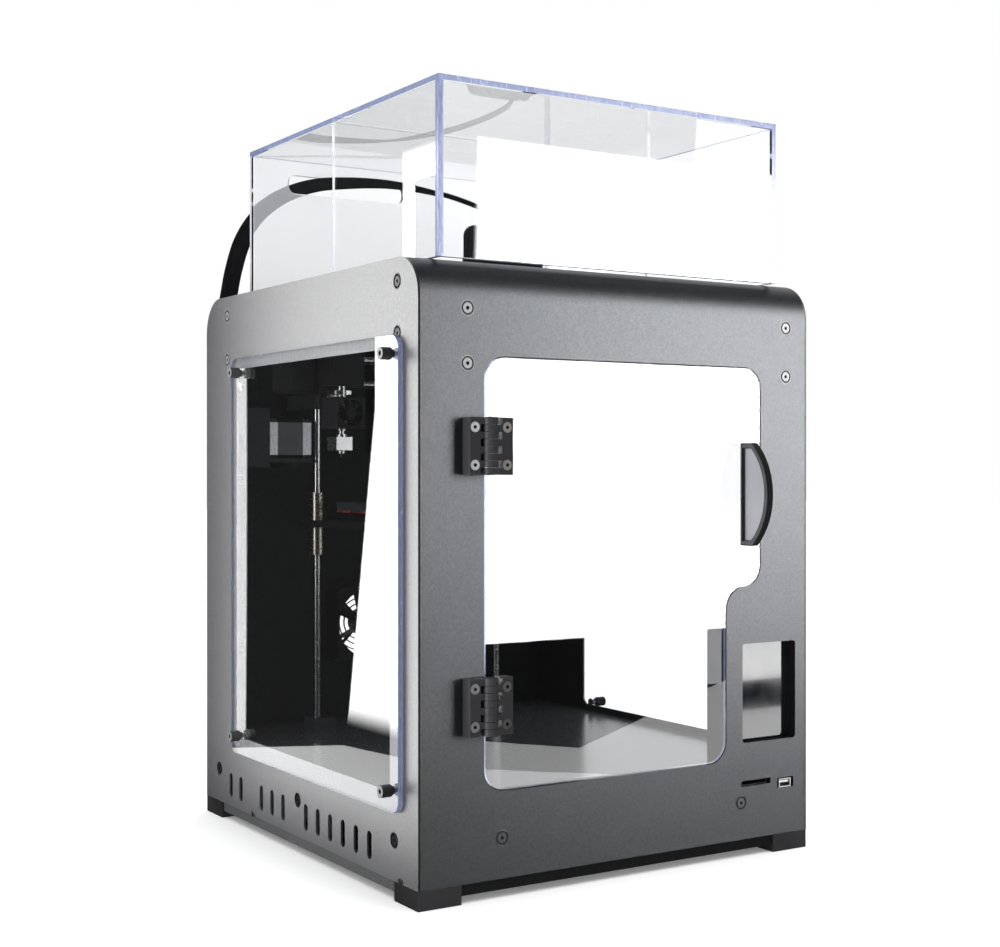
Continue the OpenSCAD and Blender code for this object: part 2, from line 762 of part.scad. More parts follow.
module umbilical() {
    p = loom_points;
    n = len(p);
    ends = concat([2 * p[0] - p[1]], p, [2 * p[n - 1] - p[n - 2]]);
    raw = concat([for (i = [1:n - 1], k = [0:loom_steps - 1]) spline(ends, i, k / loom_steps)], [p[n - 1]]);
    mid = [for (q = raw) [q[0], min(q[1], loom_back), q[2]]];
    m = len(mid);
    section = [[0.5, 0.25], [0.42, 0.5], [-0.42, 0.5], [-0.5, 0.25], [-0.5, -0.25], [-0.42, -0.5],
        [0.42, -0.5], [0.5, -0.25]];
    rings = [for (i = [0:m - 1])
        let (t = unit(mid[min(i + 1, m - 1)] - mid[max(i - 1, 0)]),
            f = max(0, min(1, (mid[i][0] + 182) / 150)),
            g = pow(max(0, min(1, (mid[i][0] + 182) / 182)), 0.6),
            w0 = [cos(loom_turn * f), sin(loom_turn * f), -loom_tilt * sin(180 * g)],
            w = unit(w0 - (w0 * t) * t),
            u = cross(t, w))
        for (c = section) mid[i] + w * c[0] * loom_w + u * c[1] * loom_t];
    s = len(section);
    sides = [for (i = [0:m - 2], k = [0:s - 1])
        [i * s + k, i * s + (k + 1) % s, (i + 1) * s + (k + 1) % s, (i + 1) * s + k]];
    caps = [[for (k = [s - 1:-1:0]) k], [for (k = [0:s - 1]) (m - 1) * s + k]];
    color("#1b1c1d") polyhedron(points = rings, faces = concat(sides, caps), convexity = 6);
}

// ---------- gantry: everything below is drawn with the X rods at y = 0 ----------

module at_gantry() {
    translate([0, gantry_y, 0]) children();
}

module x_end_blocks() {
    color("#2b2c2d") at_gantry() for (sx = [-1, 1]) mirror([sx > 0 ? 0 : 1, 0, 0]) difference() {
        block(end_x, [-plate_y[0], plate_y[0]], [440, 524]);
        block([end_x[0] - 1, 197], [-plate_y[0] - 1, plate_y[0] + 1], [484, 504]);
        disc_y(-plate_y[0] - 1, 2 * plate_y[0] + 2, rod_r + run_fit, y_rod_x, y_rod_z);
        for (z = x_rod_z) disc_x(end_x[0] - 1, 19, rod_r, 0, z);
    }
    // arms and rings that carry the far end of each X belt
    color("#2b2c2d") at_gantry() for (s = [-1, 1]) mirror([0, s > 0 ? 1 : 0, 0]) difference() {
        union() {
            block([s > 0 ? 158 : -end_x[0], s > 0 ? end_x[0] : -158], [10.5, 14], [484, 504]);
            disc_y(2.5, 9, pulley_r, s * x_pulley_x, belt_z);
        }
        disc_y(2, 13, 2.5 + run_fit, s * x_pulley_x, belt_z);
    }
}

module x_rods() {
    color("#c4c6c8") at_gantry() for (z = x_rod_z) disc_x(-end_x[0] - 18, 2 * end_x[0] + 36, rod_r, 0, z);
}

module x_motors() {
    color("#5b5d5f") at_gantry() for (s = [-1, 1]) {
        translate([s * x_pulley_x, plate_y[1], belt_z]) rotate([90, 0, 0]) motor(motor_l);
    }
}

module gantry_plate() {
    color("#3a3c3e") at_gantry() {
        difference() {
            block([-end_x[1], end_x[1]], plate_y, [466, 521]);
            for (s = [-1, 1]) disc_y(plate_y[0] - 1, 5, 11, s * x_pulley_x, belt_z);
            for (s = [-1, 1]) block([s * 193 - 7, s * 193 + 7], [plate_y[0] - 1, plate_y[1] + 1], [484, 504]);
            for (s = [-1, 1]) disc_y(plate_y[0] - 1, 5, rod_r + 1, s * y_rod_x, y_rod_z);
        }
        block(tower_x, [tower_y[0], tower_y[0] + tower_front], [521, tower_z[0]]);
        block([tower_box_x, tower_x[1]], tower_y, [521, tower_z[0]]);
    }
}

// outline of the tower in X and Z, with two round upper corners
module tower_outline(x0, inset, r) {
    b = [x0 + inset, tower_x[1] - inset, tower_z[0], tower_z[1] - inset];
    round_box(b, r);
    translate([b[0], b[2]]) square([b[1] - b[0], 30]);
}

module cable_tower() {
    y0 = tower_y[0];
    color("#232425") at_gantry() {
        difference() {
            union() {
                plate_y(y0, tower_front) tower_outline(tower_x[0], 0, 12);
                plate_y(y0, tower_y[1] - y0) tower_outline(tower_box_x, 0, 12);
            }
            translate([0, 0, -1]) plate_y(y0 + 3, tower_y[1] - y0 - 6)
                tower_outline(tower_box_x, 3, 9);
            block([58, 81], [13, 39], [tower_z[1] - 5, tower_z[1] + 1]);
        }
        for (x = [30, 69]) difference() {
            disc_y(y0, 4, 6.5, x, tower_z[1] + 2);
            disc_y(y0 - 1, 6, 3.6, x, tower_z[1] + 3);
        }
    }
}

module x_belts() {
    color("#1a1a1a") at_gantry() for (y = [-9, 3]) {
        plate_y(y, belt_w) translate([-x_pulley_x, belt_z]) belt_outline(2 * x_pulley_x);
    }
}

// motor shaft with its drive pulley; side -1 drives the front belt, 1 the rear belt
module x_pulley(side) {
    y0 = side < 0 ? -10 : 2;
    at_gantry() translate([side * x_pulley_x, 0, belt_z]) rotate([-90, 0, 0]) {
        translate([0, 0, y0]) pulley_solid();
        disc_z(y0, plate_y[1] + 7 - y0, 2.5, 0, 0);
        disc_z(plate_y[1] + 6, motor_l - 12, rotor_r, 0, 0);
    }
}

module x_left_pulley() {
    color("#b5b7b9") x_pulley(-1);
}

module x_right_pulley() {
    color("#b5b7b9") x_pulley(1);
}

// ---------- print heads ----------

hotend_y = -32;                      // in front of the X rods
nozzle_z = 378;

module at_head(side) {
    translate([side * park_x, gantry_y, 0]) mirror([side > 0 ? 1 : 0, 0, 0]) children();
}

// drawn for the left head: +X is towards the middle of the printer
module carriage(side) {
    at_head(side) difference() {
        union() {
            block([-20, 20], [-14, 14], [438, 483]);
            block([-17, 17], [-19, -14], [424, 483]);
            if (side < 0) block([14, 20], [-14, -10.6], [483, 511]);
            if (side > 0) block([14, 20], [10.6, 14], [483, 511]);
        }
        for (z = x_rod_z) disc_x(-21, 42, rod_r + run_fit, 0, z);
    }
}

module left_carriage() {
    color("#242527") carriage(-1);
}

module right_carriage() {
    color("#242527") carriage(1);
}

module hotend(side) {
    at_head(side) {
        disc_z(397, 3, 5, 0, hotend_y);
        disc_z(400, 3, 3, 0, hotend_y);
        disc_z(403, 43, 4.5, 0, hotend_y);
        for (k = [0:9]) disc_z(405 + 3 * k, 1.4, 11, 0, hotend_y);
        block([-9, 8], [hotend_y - 8, hotend_y + 12], [384, 397]);
        disc_z(381, 3, 3.6, 0, hotend_y);
        translate([0, hotend_y, nozzle_z]) cylinder(r1 = 0.8, r2 = 3, h = 3, $fn = 32);
        block([-9, 9], [-19.5, -19], [424, 440]);
        block([-9, 9], [hotend_y - 4, -19], [438, 442]);
    }
}

module left_hotend() {
    color("#bfc1c2") hotend(-1);
}

module right_hotend() {
    color("#bfc1c2") hotend(1);
}

// fan housing in front of the heat sink and the feed motor above it
module feeder(side) {
    at_head(side) {
        difference() {
            block([-15, 15], [-54, -43], [405, 435]);
            disc_y(-55, 13, 13.5, 0, 420);
        }
        for (z = [408, 432]) block([-15, 15], [-44, -43], [z - 1.5, z + 1.5]);
        block([-15, -12.5], [-43, -19], [405, 435]);
        block([12.5, 15], [-43, -19], [405, 435]);
        disc_y(-45, 2, 6, 0, 420);
        block([-14, 14], [-45, -43.6], [419, 421]);
        block([-18, 18], [-45, -19], [446, 482]);
    }
}

module left_feeder() {
    color("#1d1e1f") feeder(-1);
}

module right_feeder() {
    color("#1d1e1f") feeder(1);
}

module left_fan_rotor() {
    color("#2a2b2c") at_head(-1) fan_wheel(-53.5, 8, 5.5, 12.6, 7, 0, 420);
}

module right_fan_rotor() {
    color("#2a2b2c") at_head(1) fan_wheel(-53.5, 8, 5.5, 12.6, 7, 0, 420);
}

// ---------- bed ----------

module bed_bearings() {
    color("#b9bbbd") for (s = [-1, 1], z = [274, 311]) difference() {
        disc_z(z, 30, 7.5, s * z_rod_x, z_rod_y);
        disc_z(z - 1, 32, rod_r + run_fit, s * z_rod_x, z_rod_y);
    }
}

module bed_frame() {
    color("#3a3b3d") difference() {
        union() {
            block([-125, 125], [156, 188], frame_z);
            for (s = [-1, 1]) block([s * 98 - 12, s * 98 + 12], [-108, 157], frame_z);
            block([-12, 12], [80, 157], frame_z);
            for (y = [-98, 98]) block([-98, 98], [y - 10, y + 10], frame_z);
        }
        for (s = [-1, 1]) disc_z(300, 15, rod_r + 1, s * z_rod_x, z_rod_y);
        disc_z(300, 15, 5.1, 0, z_rod_y);
        for (p = knob_at) disc_z(300, 15, 1.5 + run_fit, p[0], p[1]);
    }
}

module bed_nut() {
    color("#c8a24a") difference() {
        union() {
            disc_z(frame_z[1], 3.5, 11, 0, z_rod_y);
            disc_z(frame_z[0] - 10, 17, 5.1, 0, z_rod_y);
        }
        disc_z(frame_z[0] - 11, 30, rod_r + run_fit, 0, z_rod_y);
    }
}

module bed_heater() {
    color("#a3201b") difference() {
        block([-bed_half, bed_half], [-bed_half, bed_half], [heater_z, heater_z + 2]);
        for (p = knob_at) disc_z(heater_z - 1, 4, 1.5 + run_fit, p[0], p[1]);
    }
}

module build_plate() {
    color("#2d2f33") difference() {
        block([-bed_half, bed_half], [-bed_half, bed_half], [heater_z + 2, bed_top]);
        for (p = knob_at) disc_z(heater_z, 8, 1.5 + run_fit, p[0], p[1]);
    }
}

// levelling screw with its knob under the bed frame
module level_knob(p) {
    disc_z(frame_z[0] - 12, heater_z + 6 - frame_z[0] + 12, 1.5, p[0], p[1]);
    difference() {
        disc_z(frame_z[0] - 10, 9.6, 11, p[0], p[1]);
        for (a = [0:30:330]) disc_z(frame_z[0] - 11, 12, 1.6, p[0] + 11.6 * cos(a), p[1] + 11.6 * sin(a));
    }
}

module front_left_knob() {
    color("#202122") level_knob(knob_at[0]);
}

module front_right_knob() {
    color("#202122") level_knob(knob_at[1]);
}

module rear_knob() {
    color("#202122") level_knob(knob_at[2]);
}

// ---------- assembly ----------

front_top_shell();
back_panel();
left_side_panel();
right_side_panel();
base_tray();
feet();
chamber_floor();
side_windows();
window_thumbscrews();
panel_screws();
hinge_frame_leaves();
hinge_pins();
lcd_screen();
electronics_housing();
control_board();
power_supply();
power_inlet();
exhaust_fan_frame();
y_rods();
rod_supports();
drive_motors();
drive_cover();
y_belts();
z_rods();
lid_rear();
umbilical();
door_panel();
door_handle();
hinge_door_leaves();
hinge_door_screws();
lid_front();
x_end_blocks();
x_rods();
x_motors();
gantry_plate();
cable_tower();
x_belts();
left_carriage();
left_hotend();
left_feeder();
left_fan_rotor();
right_carriage();
right_hotend();
right_feeder();
right_fan_rotor();
bed_bearings();
bed_frame();
bed_nut();
bed_heater();
build_plate();
front_left_knob();
front_right_knob();
rear_knob();
z_screw();
y_shaft();
y_motor_pulley();
x_left_pulley();
x_right_pulley();
exhaust_rotor();
rocker_switch();
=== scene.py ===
"""Looks of the enclosed desktop 3D printer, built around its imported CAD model."""

import json
import math
import bmesh
import bpy
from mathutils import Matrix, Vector

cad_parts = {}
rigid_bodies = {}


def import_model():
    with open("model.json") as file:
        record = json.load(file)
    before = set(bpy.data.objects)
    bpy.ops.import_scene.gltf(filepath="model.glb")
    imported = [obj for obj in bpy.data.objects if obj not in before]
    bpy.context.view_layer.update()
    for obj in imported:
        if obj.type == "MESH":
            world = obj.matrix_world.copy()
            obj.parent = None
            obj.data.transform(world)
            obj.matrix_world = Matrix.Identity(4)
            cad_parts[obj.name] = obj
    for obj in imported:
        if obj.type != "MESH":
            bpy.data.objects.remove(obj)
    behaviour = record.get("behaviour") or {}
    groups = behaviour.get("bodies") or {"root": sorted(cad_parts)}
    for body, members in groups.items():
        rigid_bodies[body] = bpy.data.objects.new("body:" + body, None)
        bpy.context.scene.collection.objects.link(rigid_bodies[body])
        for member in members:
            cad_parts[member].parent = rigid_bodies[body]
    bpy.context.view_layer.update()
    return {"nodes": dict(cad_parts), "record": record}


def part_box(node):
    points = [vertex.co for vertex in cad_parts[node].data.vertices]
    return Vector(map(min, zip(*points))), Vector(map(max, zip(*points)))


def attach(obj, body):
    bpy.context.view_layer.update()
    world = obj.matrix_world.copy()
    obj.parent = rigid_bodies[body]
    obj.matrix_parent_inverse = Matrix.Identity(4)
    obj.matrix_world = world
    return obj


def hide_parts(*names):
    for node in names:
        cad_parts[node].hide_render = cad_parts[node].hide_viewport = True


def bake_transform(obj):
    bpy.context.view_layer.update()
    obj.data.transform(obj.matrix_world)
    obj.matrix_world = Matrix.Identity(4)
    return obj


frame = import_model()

MM = 0.001
NODES = frame["nodes"]
SLOT_OF = {s["node"]: s["material_slot"] for s in frame["record"]["subparts"]}
BODY_OF = {n: b for b, ns in frame["record"]["behaviour"]["bodies"].items() for n in ns}

# ---------- camera ----------

CAMERA_AT = (-0.8540, -1.3747, 0.3662)
CAMERA_YAW = 32.16
CAMERA_PITCH = -0.17
CAMERA_LENS = 57.13

cam_data = bpy.data.cameras.new("view_camera")
cam_data.sensor_width = 36.0
cam_data.lens = CAMERA_LENS
cam_data.clip_start = 0.05
camera = bpy.data.objects.new("view_camera", cam_data)
bpy.context.scene.collection.objects.link(camera)
camera.location = CAMERA_AT
camera.rotation_euler = (math.radians(90 + CAMERA_PITCH), 0, math.radians(-CAMERA_YAW))
bpy.context.scene.camera = camera


# ---------- materials ----------


class Mat:
    """A node material with short calls for the nodes that repeat."""

    def __init__(self, name):
        self.m = bpy.data.materials.new(name)
        self.m.use_nodes = True
        self.t = self.m.node_tree
        self.t.nodes.clear()
        self.out = self.t.nodes.new("ShaderNodeOutputMaterial")
        self.b = self.t.nodes.new("ShaderNodeBsdfPrincipled")
        self.link(self.b.outputs[0], self.out.inputs[0])
        self.pos = self.t.nodes.new("ShaderNodeTexCoord").outputs["Object"]

    def link(self, a, b):
        self.t.links.new(a, b)

    def set(self, **values):
        for k, v in values.items():
            self.b.inputs[k.replace("_", " ")].default_value = v
        return self

    def stretch(self, scale):
        n = self.t.nodes.new("ShaderNodeMapping")
        n.inputs["Scale"].default_value = scale
        self.link(self.pos, n.inputs[0])
        return n.outputs[0]

    def noise(self, scale, detail=3.0, rough=0.5, at=None):
        n = self.t.nodes.new("ShaderNodeTexNoise")
        n.inputs["Scale"].default_value = scale
        n.inputs["Detail"].default_value = detail
        n.inputs["Roughness"].default_value = rough
        self.link(at or self.pos, n.inputs["Vector"])
        return n.outputs["Fac"]

    def ramp(self, fac, low, high, start=0.3, end=0.7):
        n = self.t.nodes.new("ShaderNodeValToRGB")
        n.color_ramp.elements[0].position = start
        n.color_ramp.elements[0].color = (*low, 1)
        n.color_ramp.elements[1].position = end
        n.color_ramp.elements[1].color = (*high, 1)
        self.link(fac, n.inputs[0])
        return n.outputs[0]

    def remap(self, fac, low, high, start=0.3, end=0.7):
        n = self.t.nodes.new("ShaderNodeMapRange")
        for i, v in enumerate((start, end, low, high)):
            n.inputs[i + 1].default_value = v
        self.link(fac, n.inputs[0])
        return n.outputs[0]

    def mix(self, fac, a, b):
        n = self.t.nodes.new("ShaderNodeMix")
        n.data_type = "RGBA"
        for socket, v in ((n.inputs[0], fac), (n.inputs[6], a), (n.inputs[7], b)):
            if isinstance(v, (tuple, float, int)):
                socket.default_value = (*v, 1) if isinstance(v, tuple) else v
            else:
                self.link(v, socket)
        return n.outputs[2]

    def bump(self, height, strength, distance):
        n = self.t.nodes.new("ShaderNodeBump")
        n.inputs["Strength"].default_value = strength
        n.inputs["Distance"].default_value = distance
        self.link(height, n.inputs["Height"])
        self.link(n.outputs[0], self.b.inputs["Normal"])
        return self

    def edges(self, radius=0.0006):
        """1 near a convex edge, 0 elsewhere."""
        n = self.t.nodes.new("ShaderNodeBevel")
        n.samples = 4
        n.inputs[0].default_value = radius
        g = self.t.nodes.new("ShaderNodeNewGeometry")
        d = self.t.nodes.new("ShaderNodeVectorMath")
        d.operation = "DOT_PRODUCT"
        self.link(n.outputs[0], d.inputs[0])
        self.link(g.outputs["Normal"], d.inputs[1])
        return self.remap(d.outputs["Value"], 1.0, 0.0, 0.86, 0.99)


def scaled(c, k):
    return tuple(min(1.0, v * k) for v in c)


def powder_coat(name, base, rough=0.5, grain=1500.0, spec=0.4, tint=(1.0, 1.0, 1.0), bumps=0.35):
    """Fine orange-peel powder coat with a slight sparkle and a painted highlight along its edges."""
    m = Mat(name)
    fine = m.noise(grain, 4.0, 0.6)
    broad = m.noise(14.0, 2.0)
    colour = m.mix(m.remap(fine, 0.0, 1.0, 0.35, 0.65), scaled(base, 0.72), scaled(base, 1.3))
    colour = m.mix(m.remap(broad, 0.0, 0.25), colour, scaled(base, 1.2))
    # Convex edges are painted lighter: a painted highlight along the edges.
    m.link(m.mix(m.edges(), colour, scaled(base, 2.1)), m.b.inputs["Base Color"])
    m.link(m.remap(fine, rough - 0.07, rough + 0.09), m.b.inputs["Roughness"])
    m.link(m.remap(m.noise(620.0, 2.0, 0.7), spec * 0.82, spec * 1.18), m.b.inputs["Specular IOR Level"])
    m.set(Specular_Tint=(*tint, 1.0))
    m.bump(fine, bumps, 0.0004)
    return m.m


def moulded(name, base, rough=0.42, spec=0.45):
    """Moulded plastic with a faint grain, flow marks and a painted highlight along its edges."""
    m = Mat(name)
    fine = m.noise(2200.0, 2.0)
    flow = m.noise(30.0, 3.0, 0.55, m.stretch((1.0, 1.0, 0.35)))
    colour = m.mix(m.remap(flow, 0.0, 0.5), base, scaled(base, 1.5))
    # Convex edges are painted lighter: a painted highlight along the edges.
    m.link(m.mix(m.edges(0.0004), colour, scaled(base, 2.4)), m.b.inputs["Base Color"])
    m.link(m.remap(flow, rough - 0.06, rough + 0.08), m.b.inputs["Roughness"])
    m.set(Specular_IOR_Level=spec)
    m.bump(fine, 0.16, 0.0003)
    return m.m


def metal(name, base, rough=0.28, lines=(1.0, 1.0, 1.0), scale=900.0):
    """Ground or turned metal: fine lines across the way of the stretch, with cloudy gloss."""
    m = Mat(name)
    scratch = m.noise(scale, 3.0, 0.6, m.stretch(lines))
    cloud = m.noise(45.0, 2.0)
    colour = m.mix(m.remap(scratch, 0.0, 1.0), scaled(base, 0.82), scaled(base, 1.12))
    m.link(m.mix(m.remap(cloud, 0.0, 0.4), colour, scaled(base, 0.75)), m.b.inputs["Base Color"])
    m.link(m.remap(scratch, rough - 0.08, rough + 0.1), m.b.inputs["Roughness"])
    m.set(Metallic=1.0)
    m.bump(scratch, 0.12, 0.0001)
    return m.m


def ribbed(name, base, pitch, along, metallic=0.0, rough=0.4, depth=0.0004):
    """Even ribs along one axis, such as a thread or belt teeth, with painted shade in the grooves between
    them.
    """
    m = Mat(name)
    wave = m.t.nodes.new("ShaderNodeTexWave")
    wave.bands_direction = along
    wave.inputs["Scale"].default_value = math.pi / (10 * pitch)
    m.link(m.pos, wave.inputs["Vector"])
    # The grooves, low in the bump, are painted darker: painted shade between the ribs.
    m.link(m.mix(wave.outputs["Fac"], scaled(base, 0.45), scaled(base, 1.1)), m.b.inputs["Base Color"])
    m.link(m.remap(m.noise(300.0), rough - 0.06, rough + 0.08), m.b.inputs["Roughness"])
    m.set(Metallic=metallic)
    return m.bump(wave.outputs["Fac"], 0.9, depth).m


def see_through(m, tint, mirrors=True):
    """Lets rays from lamps and, with mirrors, those off mirror-like surfaces pass straight through."""
    path = m.t.nodes.new("ShaderNodeLightPath")
    either = m.t.nodes.new("ShaderNodeMath")
    either.operation = "MAXIMUM"
    m.link(path.outputs["Is Shadow Ray"], either.inputs[0])
    either.inputs[1].default_value = 0.0
    if mirrors:
        m.link(path.outputs["Is Reflection Ray"], either.inputs[1])
    clear = m.t.nodes.new("ShaderNodeBsdfTransparent")
    clear.inputs[0].default_value = (*tint, 1)
    mix = m.t.nodes.new("ShaderNodeMixShader")
    m.link(either.outputs[0], mix.inputs[0])
    m.link(m.b.outputs[0], mix.inputs[1])
    m.link(clear.outputs[0], mix.inputs[2])
    m.link(mix.outputs[0], m.out.inputs[0])
    return m.m


def acrylic(name, tint, rough=0.0, clear=1.0, painted_glow=0.0):
    """Acrylic sheet with the faintest haze. Below 1, clear leaves a pale film on it. A glow above 0 makes
    it give off painted light.
    """
    m = Mat(name)
    haze = m.noise(60.0, 3.0)
    m.link(m.mix(m.remap(haze, 0.0, 1.0), tint, scaled(tint, 0.985)), m.b.inputs["Base Color"])
    m.link(m.remap(haze, rough, rough + 0.012), m.b.inputs["Roughness"])
    m.set(Transmission_Weight=clear, IOR=1.49)
    # This emission is painted light: the sheet glows though it is no lamp.
    m.set(Emission_Color=(1.0, 1.0, 1.0, 1.0), Emission_Strength=painted_glow)
    return see_through(m, tint)


def acrylic_edge(name, base):
    """The sawn and polished edge of an acrylic sheet, which gathers a blue light."""
    m = Mat(name)
    saw = m.noise(700.0, 3.0, 0.6, m.stretch((1.0, 1.0, 0.15)))
    m.link(m.mix(m.remap(saw, 0.0, 1.0), base, scaled(base, 1.35)), m.b.inputs["Base Color"])
    m.link(m.remap(saw, 0.12, 0.3), m.b.inputs["Roughness"])
    m.set(Transmission_Weight=0.2, IOR=1.49)
    m.bump(saw, 0.1, 0.0001)
    return see_through(m, (0.9, 0.92, 0.97), False)


def rubber(name, base):
    m = Mat(name)
    fine = m.noise(1600.0, 3.0)
    m.link(m.mix(m.remap(fine, 0.0, 1.0), base, scaled(base, 1.8)), m.b.inputs["Base Color"])
    m.link(m.remap(fine, 0.62, 0.8), m.b.inputs["Roughness"])
    m.set(Specular_IOR_Level=0.02)
    return m.bump(fine, 0.3, 0.0002).m


def board(name, base):
    """Circuit board with a faint pattern of tracks."""
    m = Mat(name)
    tracks = m.noise(260.0, 1.0, 0.3, m.stretch((1.0, 0.12, 1.0)))
    m.link(m.mix(m.remap(tracks, 0.0, 1.0, 0.48, 0.52), base, scaled(base, 1.7)), m.b.inputs["Base Color"])
    m.link(m.remap(tracks, 0.25, 0.4, 0.48, 0.52), m.b.inputs["Roughness"])
    return m.bump(tracks, 0.2, 0.0001).m


def gloss(name, base, rough=0.06):
    m = Mat(name)
    smear = m.noise(38.0, 4.0, 0.6)
    m.link(m.mix(m.remap(smear, 0.0, 1.0), base, scaled(base, 1.25)), m.b.inputs["Base Color"])
    m.link(m.remap(smear, rough, rough + 0.06), m.b.inputs["Roughness"])
    m.set(Specular_IOR_Level=0.6, Coat_Weight=0.4, Coat_Roughness=0.03)
    return m.m


CLEAR = acrylic("acrylic_clear", (0.985, 0.99, 1.0))
# A pale film that also glows faintly: painted light.
FILM_AND_PAINTED_GLOW = acrylic("acrylic_film_and_painted_glow", (0.97, 0.975, 0.985), 0.0, 0.6, 0.13)
EDGE = acrylic_edge("acrylic_edge", (0.19, 0.225, 0.38))
PALE_EDGE = acrylic_edge("acrylic_edge_pale", (0.62, 0.63, 0.68))
LAMINATE = metal("motor_laminate", (0.13, 0.13, 0.135), 0.42, (1.0, 1.0, 1.0), 1400.0)
NICKEL = metal("socket_nickel", (0.62, 0.61, 0.58), 0.3)
TONGUE = moulded("socket_tongue", (0.62, 0.62, 0.60), 0.4)
# The handle's dish, painted lighter than its black plastic: painted light.
DISH_PAINTED_LIGHT = moulded("handle_dish_painted_light", (0.17, 0.17, 0.18), 0.38)
BEARING = metal("bearing_shell", (0.60, 0.55, 0.46), 0.24)
THREAD = ribbed("screw_thread", (0.55, 0.56, 0.57), 0.002, "Z", 1.0, 0.3)
TEETH = {
    "y_belts": ribbed("belt_teeth_y", (0.014, 0.014, 0.014), 0.002, "Y", 0.0, 0.7),
    "x_belts": ribbed("belt_teeth_x", (0.014, 0.014, 0.014), 0.002, "X", 0.0, 0.7),
}
LOOKS = {
    "dark_steel": powder_coat("coat_front", (0.009, 0.0097, 0.0105), 0.38, 1500.0, 0.36, (0.92, 0.95, 1.0)),
    "side_steel": powder_coat("coat_side", (0.010, 0.010, 0.0112), 0.40, 1500.0, 0.85),
    "black_steel": powder_coat("coat_black", (0.008, 0.0085, 0.009), 0.55, 1500.0, 0.4),
    "floor_steel": powder_coat("coat_floor", (0.06, 0.061, 0.066), 0.2, 900.0, 0.5, (1.0, 1.0, 1.0), 0.08),
    "clear_acrylic": CLEAR,
    "black_plastic": moulded("plastic_black", (0.010, 0.010, 0.011)),
    "black_nylon": moulded("nylon_black", (0.013, 0.013, 0.014), 0.38),
    "bright_steel": metal("steel_ground", (0.62, 0.63, 0.64), 0.2),
    "screw_steel": metal("steel_screws", (0.42, 0.42, 0.43), 0.36),
    "lcd_glass": gloss("screen_glass", (0.006, 0.007, 0.009)),
    "board_green": board("circuit_green", (0.012, 0.075, 0.03)),
    "supply_case": metal("supply_sheet", (0.5, 0.51, 0.51), 0.38),
    "motor_metal": metal("motor_caps", (0.52, 0.53, 0.54), 0.32),
    "belt_rubber": rubber("belt_black", (0.010, 0.010, 0.010)),
    "loom_black": rubber("loom_sleeve", (0.009, 0.009, 0.010)),
    "hotend_metal": metal("hotend_aluminium", (0.68, 0.68, 0.67), 0.25),
    "nut_brass": metal("nut_brass_turned", (0.62, 0.44, 0.17), 0.25),
    "heater_red": board("heater_board", (0.10, 0.016, 0.018)),
    "plate_glass": gloss("plate_coated", (0.018, 0.019, 0.022), 0.16),
    "switch_red": gloss("rocker_red", (0.35, 0.01, 0.008), 0.2),
}


# ---------- pieces made from the CAD solids ----------


def clean_copy(node):
    """A bmesh of the node with its split corners joined and its flat faces made whole."""
    bm = bmesh.new()
    bm.from_mesh(NODES[node].data)
    bmesh.ops.remove_doubles(bm, verts=bm.verts, dist=1e-6)
    bmesh.ops.dissolve_limit(bm, angle_limit=math.radians(0.4), verts=bm.verts, edges=bm.edges)
    bmesh.ops.recalc_face_normals(bm, faces=bm.faces)
    return bm


def put(name, bm, materials, body, slot, nodes=(), bevel=0.0, angle=32.0):
    """Turns a bmesh into a piece that rides on a body and stands for the nodes."""
    me = bpy.data.meshes.new(name)
    sharp = math.radians(angle)
    for f in bm.faces:
        f.smooth = True
    for e in bm.edges:
        e.smooth = not (len(e.link_faces) == 2 and e.calc_face_angle(0.0) > sharp)
    bm.to_mesh(me)
    bm.free()
    for m in materials:
        me.materials.append(m)
    obj = bpy.data.objects.new(name, me)
    bpy.context.scene.collection.objects.link(obj)
    if bevel:
        mod = obj.modifiers.new("edge_round", "BEVEL")
        mod.width = bevel
        mod.segments = 2
        mod.limit_method = "ANGLE"
        mod.angle_limit = sharp
        mod.harden_normals = True
    if body:
        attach(obj, body)
    if nodes:
        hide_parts(*nodes)
    return obj


def finished(node, bevel=0.0004, angle=32.0):
    """The node's own shape with rounded edges and its slot's material."""
    slot = SLOT_OF[node]
    bm = clean_copy(node)
    return put(node + "_finished", bm, [LOOKS[slot]], BODY_OF[node], slot, [node], bevel, angle)


def cut(bm, point, normal):
    bmesh.ops.bisect_plane(
        bm, geom=bm.verts[:] + bm.edges[:] + bm.faces[:], plane_co=point, plane_no=normal, dist=1e-6
    )


def pane(node, axis, bevel=0.0006):
    """A sheet of acrylic whose edges, the faces across the sheet, gather light."""
    bm = clean_copy(node)
    for f in bm.faces:
        f.material_index = 0 if abs(f.normal[axis]) > 0.9 else 1
    return put(node + "_finished", bm, [CLEAR, EDGE], BODY_OF[node], "clear_acrylic", [node], bevel)


LID_WALL = 5 * MM
NEAR = 1e-4


